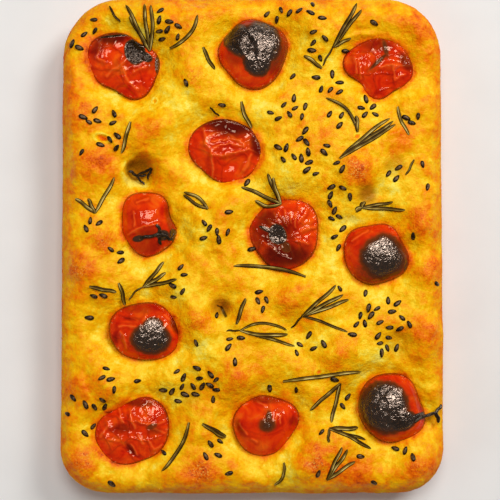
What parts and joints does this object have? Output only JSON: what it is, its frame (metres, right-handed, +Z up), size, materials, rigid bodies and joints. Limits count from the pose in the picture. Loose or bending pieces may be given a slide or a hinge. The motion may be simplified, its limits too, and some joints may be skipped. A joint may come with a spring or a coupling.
{
  "type": "rosemary focaccia",
  "caption": "Rectangular pan-baked flatbread with rounded corners, dimpled golden crust, cherry tomatoes pressed into it, black sesame and rosemary on top.",
  "frame": {"origin": "middle of the flat base, on the surface that the loaf rests on", "axes": "+Z up; +Y along the loaf's length, towards the end with three tomatoes and the wider corner rounding; +X across it"},
  "size_m": [0.151, 0.195, 0.0305],
  "materials": {
    "crust": "oiled baked crust, golden yellow with orange-brown hills",
    "tomato_skin": "glossy wrinkled skin, blackened where it has charred",
    "rosemary": "dried olive-green leaf",
    "charred": "dry, blackened",
    "sesame": "black seed with a slight sheen"
  },
  "bodies": {
    "root": {"bread": "crust", "tomato_01": "tomato_skin", "tomato_02": "tomato_skin", "tomato_03": "tomato_skin", "tomato_04": "tomato_skin", "tomato_05": "tomato_skin", "tomato_06": "tomato_skin", "tomato_07": "tomato_skin", "tomato_08": "tomato_skin", "tomato_09": "tomato_skin", "tomato_10": "tomato_skin", "tomato_11": "tomato_skin", "rosemary_far_left_fan": "rosemary", "rosemary_far_left_curl": "rosemary", "rosemary_far_left_short": "rosemary", "rosemary_corner_thread": "rosemary", "rosemary_upper_thread": "rosemary", "rosemary_left_upper_bar": "rosemary", "rosemary_beside_tomato": "rosemary", "rosemary_far_right_fan": "rosemary", "rosemary_far_right_twig": "rosemary", "rosemary_right_upper_fork": "rosemary", "rosemary_right_bundle": "rosemary", "rosemary_right_edge_curve": "rosemary", "rosemary_right_thread": "rosemary", "rosemary_left_v": "rosemary", "rosemary_mid_loop": "rosemary", "rosemary_left_sprig": "rosemary", "rosemary_left_twig": "rosemary", "rosemary_left_low_bar": "rosemary", "rosemary_tomato_crown": "rosemary", "rosemary_long_needle": "rosemary", "rosemary_right_pair": "rosemary", "rosemary_right_low_sprig": "rosemary", "rosemary_mid_fork": "rosemary", "rosemary_mid_low_loop": "rosemary", "rosemary_near_bar": "rosemary", "rosemary_near_fork": "rosemary", "rosemary_near_right_fan": "rosemary", "rosemary_near_edge_fan": "rosemary", "rosemary_near_hook": "rosemary", "rosemary_near_left_curve": "rosemary", "rosemary_near_left_pair": "rosemary", "burnt_stalk": "charred"}
  },
  "joints": []
}
